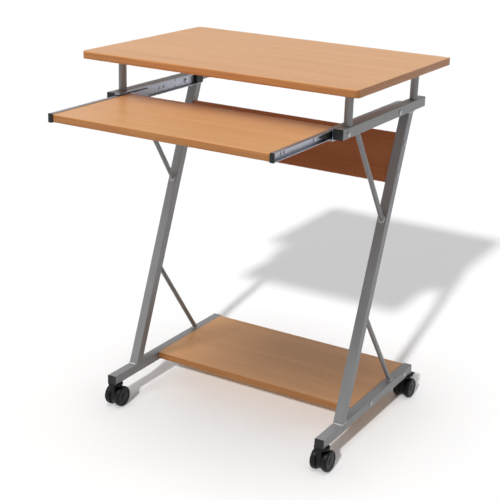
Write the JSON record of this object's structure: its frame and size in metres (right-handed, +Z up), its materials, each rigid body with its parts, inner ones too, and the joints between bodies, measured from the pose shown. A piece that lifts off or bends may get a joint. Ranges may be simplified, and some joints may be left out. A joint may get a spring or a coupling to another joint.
{
  "type": "computer desk with keyboard tray",
  "caption": "Rolling computer desk: flat top on a slanted tube frame, with a pull-out keyboard tray on slides, a low shelf, a back panel and swivel casters.",
  "frame": {"origin": "on the floor, under the middle of the overall box with the keyboard tray pulled out", "axes": "+Z up, +X to the user's right, -Y towards the user, so the keyboard tray pulls out along -Y"},
  "size_m": [0.6, 0.641, 0.77],
  "materials": {
    "beech_laminate": "satin beech-pattern melamine laminate",
    "grey_powder_coat": "silver-grey powder coat, semi-matt",
    "zinc_plated_steel": "bright zinc-plated pressed steel",
    "bright_screw_steel": "zinc-plated fasteners and pins",
    "caster_nylon": "black moulded nylon, satin",
    "black_plastic": "black moulded plastic, matt"
  },
  "bodies": {
    "frame": {"table_top": "beech_laminate", "bottom_shelf": "beech_laminate", "back_panel": "beech_laminate", "foot_rail_left": "grey_powder_coat", "foot_rail_right": "grey_powder_coat", "leg_left": "grey_powder_coat", "leg_right": "grey_powder_coat", "upper_rail_left": "grey_powder_coat", "upper_rail_right": "grey_powder_coat", "upper_brace_left": "grey_powder_coat", "upper_brace_right": "grey_powder_coat", "lower_brace_left": "grey_powder_coat", "lower_brace_right": "grey_powder_coat", "post_front_left": "grey_powder_coat", "post_front_right": "grey_powder_coat", "post_rear_left": "grey_powder_coat", "post_rear_right": "grey_powder_coat", "tube_caps": "black_plastic", "slide_channel_left": "zinc_plated_steel", "slide_channel_right": "zinc_plated_steel", "channel_bumper_left": "black_plastic", "channel_bumper_right": "black_plastic", "slide_bolts": "bright_screw_steel", "slide_nuts": "bright_screw_steel", "panel_bolts": "bright_screw_steel", "shelf_screws": "bright_screw_steel", "post_bolts": "bright_screw_steel", "caster_stem_front_left": "bright_screw_steel", "caster_stem_front_right": "bright_screw_steel", "caster_stem_rear_left": "bright_screw_steel", "caster_stem_rear_right": "bright_screw_steel"},
    "tray": {"keyboard_tray": "beech_laminate", "slide_runner_left": "zinc_plated_steel", "slide_runner_right": "zinc_plated_steel", "runner_cap_left": "black_plastic", "runner_cap_right": "black_plastic", "release_lever_left": "black_plastic", "release_lever_right": "black_plastic", "tray_screws": "bright_screw_steel"},
    "ball_strips": {"ball_strips_left": "zinc_plated_steel", "ball_strips_right": "zinc_plated_steel", "slide_balls": "zinc_plated_steel"},
    "swivel_front_left": {"caster_hood_front_left": "caster_nylon", "caster_axle_front_left": "bright_screw_steel"},
    "wheel_front_left_a": {"wheel_front_left_a": "caster_nylon"},
    "wheel_front_left_b": {"wheel_front_left_b": "caster_nylon"},
    "swivel_front_right": {"caster_hood_front_right": "caster_nylon", "caster_axle_front_right": "bright_screw_steel"},
    "wheel_front_right_a": {"wheel_front_right_a": "caster_nylon"},
    "wheel_front_right_b": {"wheel_front_right_b": "caster_nylon"},
    "swivel_rear_left": {"caster_hood_rear_left": "caster_nylon", "caster_axle_rear_left": "bright_screw_steel"},
    "wheel_rear_left_a": {"wheel_rear_left_a": "caster_nylon"},
    "wheel_rear_left_b": {"wheel_rear_left_b": "caster_nylon"},
    "brake_rear_left": {"brake_lever_rear_left": "black_plastic"},
    "swivel_rear_right": {"caster_hood_rear_right": "caster_nylon", "caster_axle_rear_right": "bright_screw_steel"},
    "wheel_rear_right_a": {"wheel_rear_right_a": "caster_nylon"},
    "wheel_rear_right_b": {"wheel_rear_right_b": "caster_nylon"},
    "brake_rear_right": {"brake_lever_rear_right": "black_plastic"}
  },
  "joints": [
    {"name": "tray_slide", "type": "slide", "parent": "frame", "child": "tray", "axis": [0, 1, 0], "range_m": [0, 0.18]},
    {"name": "strips_slide", "type": "slide", "parent": "frame", "child": "ball_strips", "axis": [0, 1, 0], "range_m": [0, 0.09]},
    {"name": "swivel_front_left", "type": "hinge", "parent": "frame", "child": "swivel_front_left", "pos_m": [-0.2515, -0.1075, 0.05], "axis": [0, 0, 1], "continuous": true},
    {"name": "roll_front_left_a", "type": "hinge", "parent": "swivel_front_left", "child": "wheel_front_left_a", "pos_m": [-0.2382, -0.1015, 0.0225], "axis": [1, 0, 0], "continuous": true},
    {"name": "roll_front_left_b", "type": "hinge", "parent": "swivel_front_left", "child": "wheel_front_left_b", "pos_m": [-0.2648, -0.1015, 0.0225], "axis": [1, 0, 0], "continuous": true},
    {"name": "swivel_front_right", "type": "hinge", "parent": "frame", "child": "swivel_front_right", "pos_m": [0.2515, -0.1075, 0.05], "axis": [0, 0, 1], "continuous": true},
    {"name": "roll_front_right_a", "type": "hinge", "parent": "swivel_front_right", "child": "wheel_front_right_a", "pos_m": [0.2382, -0.1015, 0.0225], "axis": [1, 0, 0], "continuous": true},
    {"name": "roll_front_right_b", "type": "hinge", "parent": "swivel_front_right", "child": "wheel_front_right_b", "pos_m": [0.2648, -0.1015, 0.0225], "axis": [1, 0, 0], "continuous": true},
    {"name": "swivel_rear_left", "type": "hinge", "parent": "frame", "child": "swivel_rear_left", "pos_m": [-0.2515, 0.2885, 0.05], "axis": [0, 0, 1], "continuous": true},
    {"name": "roll_rear_left_a", "type": "hinge", "parent": "swivel_rear_left", "child": "wheel_rear_left_a", "pos_m": [-0.2382, 0.2945, 0.0225], "axis": [1, 0, 0], "continuous": true},
    {"name": "roll_rear_left_b", "type": "hinge", "parent": "swivel_rear_left", "child": "wheel_rear_left_b", "pos_m": [-0.2648, 0.2945, 0.0225], "axis": [1, 0, 0], "continuous": true},
    {"name": "brake_rear_left", "type": "hinge", "parent": "swivel_rear_left", "child": "brake_rear_left", "pos_m": [-0.2515, 0.2985, 0.0478], "axis": [1, 0, 0], "range_deg": [-10, 0]},
    {"name": "swivel_rear_right", "type": "hinge", "parent": "frame", "child": "swivel_rear_right", "pos_m": [0.2515, 0.2885, 0.05], "axis": [0, 0, 1], "continuous": true},
    {"name": "roll_rear_right_a", "type": "hinge", "parent": "swivel_rear_right", "child": "wheel_rear_right_a", "pos_m": [0.2382, 0.2945, 0.0225], "axis": [1, 0, 0], "continuous": true},
    {"name": "roll_rear_right_b", "type": "hinge", "parent": "swivel_rear_right", "child": "wheel_rear_right_b", "pos_m": [0.2648, 0.2945, 0.0225], "axis": [1, 0, 0], "continuous": true},
    {"name": "brake_rear_right", "type": "hinge", "parent": "swivel_rear_right", "child": "brake_rear_right", "pos_m": [0.2515, 0.2985, 0.0478], "axis": [1, 0, 0], "range_deg": [-10, 0]}
  ],
  "couplings": [
    {"joint": "strips_slide", "follows": "tray_slide", "ratio": 0.5}
  ]
}
